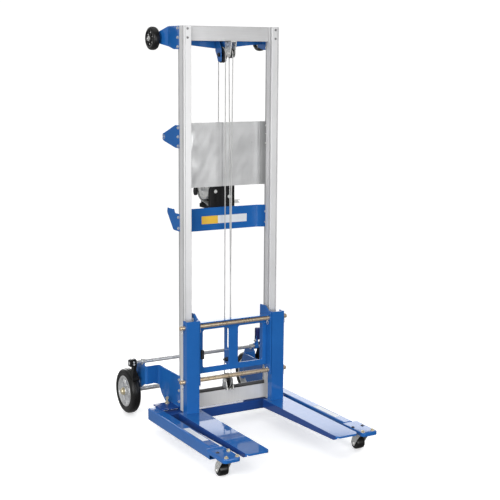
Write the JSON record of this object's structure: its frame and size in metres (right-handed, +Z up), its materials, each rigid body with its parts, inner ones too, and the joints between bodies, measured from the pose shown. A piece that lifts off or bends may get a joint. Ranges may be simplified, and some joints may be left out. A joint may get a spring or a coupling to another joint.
{
  "type": "winch lift truck",
  "caption": "Hand-winch lift truck: a wheeled base with legs, a telescopic aluminium mast, wire rope reeving, a fork carriage, rear wheels with foot brake and loading wheels.",
  "frame": {"origin": "floor level, under the middle of the overall box", "axes": "+Z up the mast, +X to the truck's right as seen from the forks' side, -Y toward the fork tips"},
  "size_m": [0.71, 1.077, 1.7],
  "materials": {
    "blue_paint": "gloss powder coat",
    "black_paint": "satin",
    "mast_alu": "satin anodised",
    "sheet_alu": "mill finish",
    "bar_alu": "satin",
    "zinc_steel": "bright zinc",
    "bright_steel": "ground",
    "yellow_zinc": "yellow chromate zinc",
    "rope_steel": "galvanised wire rope",
    "tyre_rubber": "matte",
    "rim_grey": "cast, satin",
    "caster_rubber": "satin",
    "black_plastic": "matte",
    "glide_nylon": "nylon",
    "sheave_steel": "turned, oiled"
  },
  "bodies": {
    "chassis": {"left_leg": "blue_paint", "right_leg": "blue_paint", "base_crossbeam": "blue_paint", "left_caster_plate": "blue_paint", "right_caster_plate": "blue_paint", "caster_bolts": "yellow_zinc", "left_base_bracket": "blue_paint", "right_base_bracket": "blue_paint", "wheel_axle": "bright_steel", "axle_nuts": "yellow_zinc", "left_outer_rail": "mast_alu", "right_outer_rail": "mast_alu", "top_bracket": "blue_paint", "left_handle_bracket": "blue_paint", "right_handle_bracket": "blue_paint", "push_handle": "bright_steel", "winch_crossmember": "blue_paint", "guard_sheet": "sheet_alu", "bracket_bolts": "zinc_steel", "winch_frame": "black_paint", "top_pulley_block": "blue_paint", "rope_a": "rope_steel", "rope_b": "rope_steel"},
    "left_caster": {"left_caster_fork": "zinc_steel"},
    "right_caster": {"right_caster_fork": "zinc_steel"},
    "left_caster_roller": {"left_caster_wheel": "caster_rubber"},
    "right_caster_roller": {"right_caster_wheel": "caster_rubber"},
    "left_wheel": {"left_tyre": "tyre_rubber", "left_rim": "rim_grey"},
    "right_wheel": {"right_tyre": "tyre_rubber", "right_rim": "rim_grey"},
    "brake": {"brake_rod": "bright_steel", "brake_shoes": "black_paint", "brake_pedal": "blue_paint"},
    "left_loading_wheel": {"left_top_wheel": "caster_rubber"},
    "right_loading_wheel": {"right_top_wheel": "caster_rubber"},
    "drum": {"winch_drum": "zinc_steel", "winch_gear": "zinc_steel"},
    "crank": {"drive_shaft": "zinc_steel", "crank_arm": "zinc_steel"},
    "grip": {"crank_grip": "black_plastic"},
    "pawl": {"ratchet_pawl": "zinc_steel"},
    "top_pulley": {"top_pulley_sheave": "sheave_steel"},
    "inner_mast": {"left_inner_rail": "mast_alu", "right_inner_rail": "mast_alu", "inner_top_bar": "bar_alu", "inner_bottom_bar": "bar_alu", "upper_sheave_bracket": "zinc_steel", "lower_sheave_bracket": "zinc_steel", "rope_c": "rope_steel", "rope_d": "rope_steel"},
    "upper_pulley": {"upper_sheave": "sheave_steel"},
    "lower_pulley": {"lower_sheave": "sheave_steel"},
    "carriage": {"carriage_frame": "blue_paint", "left_fork": "blue_paint", "right_fork": "blue_paint", "fork_rods": "yellow_zinc", "hitch_pins": "zinc_steel", "carriage_glides": "glide_nylon", "rope_end": "rope_steel"}
  },
  "joints": [
    {"name": "crank_turn", "type": "hinge", "parent": "chassis", "child": "crank", "pos_m": [0.23, 0.233, 1.07089], "axis": [-1, 0, 0], "range_deg": [0, 19800.2]},
    {"name": "drum_turn", "type": "hinge", "parent": "chassis", "child": "drum", "pos_m": [0, 0.201, 1.023], "axis": [1, 0, 0], "range_deg": [0, 3960.05]},
    {"name": "mast_lift", "type": "slide", "parent": "chassis", "child": "inner_mast", "axis": [0, 0, 1], "range_m": [0, 1.07129], "deforming": ["rope_b"]},
    {"name": "carriage_lift", "type": "slide", "parent": "inner_mast", "child": "carriage", "axis": [0, 0, 1], "range_m": [0, 1.07129], "deforming": ["rope_d"]},
    {"name": "top_pulley_turn", "type": "hinge", "parent": "chassis", "child": "top_pulley", "pos_m": [0, 0.13975, 1.585], "axis": [-1, 0, 0], "range_deg": [0, 4058.23]},
    {"name": "upper_pulley_turn", "type": "hinge", "parent": "inner_mast", "child": "upper_pulley", "pos_m": [0, 0.0635, 1.59], "axis": [-1, 0, 0], "range_deg": [0, 3836.3]},
    {"name": "lower_pulley_turn", "type": "hinge", "parent": "inner_mast", "child": "lower_pulley", "pos_m": [0, 0.08, 0.196], "axis": [1, 0, 0], "range_deg": [0, 2080.73]},
    {"name": "grip_spin", "type": "hinge", "parent": "crank", "child": "grip", "pos_m": [0.28, 0.233, 1.23589], "axis": [1, 0, 0], "continuous": true},
    {"name": "pawl_swing", "type": "hinge", "parent": "chassis", "child": "pawl", "pos_m": [0.06, 0.1685, 0.997], "axis": [1, 0, 0], "range_deg": [0, 25], "stiffness_Nm_per_rad": 0.02, "springref_deg": -28.65},
    {"name": "left_wheel_spin", "type": "hinge", "parent": "chassis", "child": "left_wheel", "pos_m": [-0.3105, 0.4385, 0.1], "axis": [1, 0, 0], "continuous": true},
    {"name": "right_wheel_spin", "type": "hinge", "parent": "chassis", "child": "right_wheel", "pos_m": [0.3105, 0.4385, 0.1], "axis": [1, 0, 0], "continuous": true},
    {"name": "left_caster_swivel", "type": "hinge", "parent": "chassis", "child": "left_caster", "pos_m": [-0.317, -0.4865, 0.075], "axis": [0, 0, 1], "continuous": true},
    {"name": "right_caster_swivel", "type": "hinge", "parent": "chassis", "child": "right_caster", "pos_m": [0.317, -0.4865, 0.075], "axis": [0, 0, 1], "continuous": true},
    {"name": "left_caster_roll", "type": "hinge", "parent": "left_caster", "child": "left_caster_roller", "pos_m": [-0.317, -0.4515, 0.025], "axis": [1, 0, 0], "continuous": true},
    {"name": "right_caster_roll", "type": "hinge", "parent": "right_caster", "child": "right_caster_roller", "pos_m": [0.317, -0.4515, 0.025], "axis": [1, 0, 0], "continuous": true},
    {"name": "brake_turn", "type": "hinge", "parent": "chassis", "child": "brake", "pos_m": [0, 0.3535, 0.25], "axis": [1, 0, 0], "range_deg": [-15, 3.2]},
    {"name": "left_loading_wheel_spin", "type": "hinge", "parent": "chassis", "child": "left_loading_wheel", "pos_m": [-0.258, 0.2695, 1.65], "axis": [1, 0, 0], "continuous": true},
    {"name": "right_loading_wheel_spin", "type": "hinge", "parent": "chassis", "child": "right_loading_wheel", "pos_m": [0.258, 0.2695, 1.65], "axis": [1, 0, 0], "continuous": true}
  ],
  "couplings": [
    {"joint": "carriage_lift", "follows": "mast_lift", "ratio": 1},
    {"joint": "crank_turn", "follows": "mast_lift", "rad_per_m": 322.58},
    {"joint": "drum_turn", "follows": "mast_lift", "rad_per_m": 64.516},
    {"joint": "top_pulley_turn", "follows": "mast_lift", "rad_per_m": 66.116},
    {"joint": "upper_pulley_turn", "follows": "mast_lift", "rad_per_m": 62.5},
    {"joint": "lower_pulley_turn", "follows": "mast_lift", "rad_per_m": 33.898}
  ]
}
